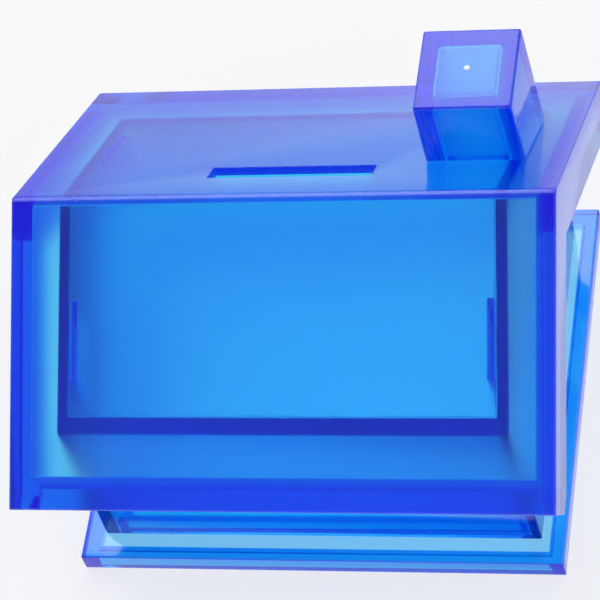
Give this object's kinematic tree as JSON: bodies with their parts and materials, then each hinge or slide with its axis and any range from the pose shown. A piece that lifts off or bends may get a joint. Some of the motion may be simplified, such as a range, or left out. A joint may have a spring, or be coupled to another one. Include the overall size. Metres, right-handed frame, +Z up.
{
  "type": "house-shaped money box",
  "caption": "House-shaped money box in clear blue plastic: a pitched roof with a coin slot and a chimney, on plain walls that lift off a tray-shaped base to empty it.",
  "frame": {"origin": "centre of the base's underside, on the table", "axes": "+X along the ridge towards the chimney's end, front slope towards -Y, +Z up"},
  "size_m": [0.108, 0.1036, 0.0785],
  "materials": {
    "roof_plastic": "polished, clear blue",
    "chimney_plastic": "polished, clear blue",
    "wall_plastic": "polished, clear blue",
    "base_plastic": "polished, clear blue"
  },
  "bodies": {
    "base": {"base_tray": "base_plastic"},
    "house": {"roof_shell": "roof_plastic", "chimney": "chimney_plastic", "house_walls": "wall_plastic"}
  },
  "joints": [
    {"name": "house_lift", "type": "slide", "parent": "base", "child": "house", "axis": [0, 0, 1], "range_m": [0, 0.07]}
  ]
}
